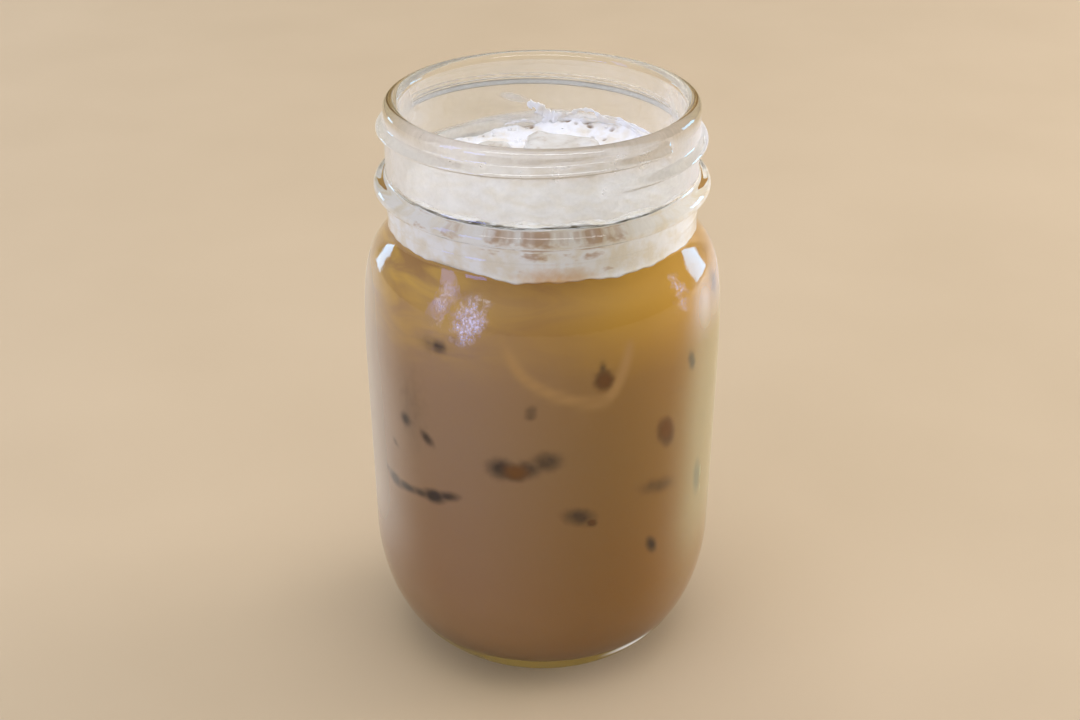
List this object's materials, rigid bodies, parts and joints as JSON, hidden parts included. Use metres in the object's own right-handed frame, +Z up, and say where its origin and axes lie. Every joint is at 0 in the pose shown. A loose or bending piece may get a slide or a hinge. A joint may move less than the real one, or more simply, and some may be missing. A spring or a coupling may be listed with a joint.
{
  "type": "iced milk coffee in a screw-neck glass jar",
  "caption": "Iced milk coffee served in a clear screw-neck preserving jar, with a pale foam head and ice standing out of the foam.",
  "frame": {"origin": "middle of the flat ring that the jar stands on", "axes": "+Z up along the jar's axis, -Y towards the front that the picture shows, +X to the picture's right"},
  "size_m": [0.0786, 0.0786, 0.13],
  "materials": {
    "jar_glass": "clear pressed soda-lime glass, smooth, faintly green in its thick rim and base",
    "milk_coffee": "opaque milky coffee, golden tan near the top and greyer brown below",
    "milk_foam": "fine pale foam with small open bubbles",
    "ice": "wet clear ice with melted round edges and a cloudy core"
  },
  "bodies": {
    "root": {"jar": "jar_glass", "coffee": "milk_coffee", "foam": "milk_foam", "ice_right": "ice", "ice_left": "ice"}
  },
  "joints": []
}
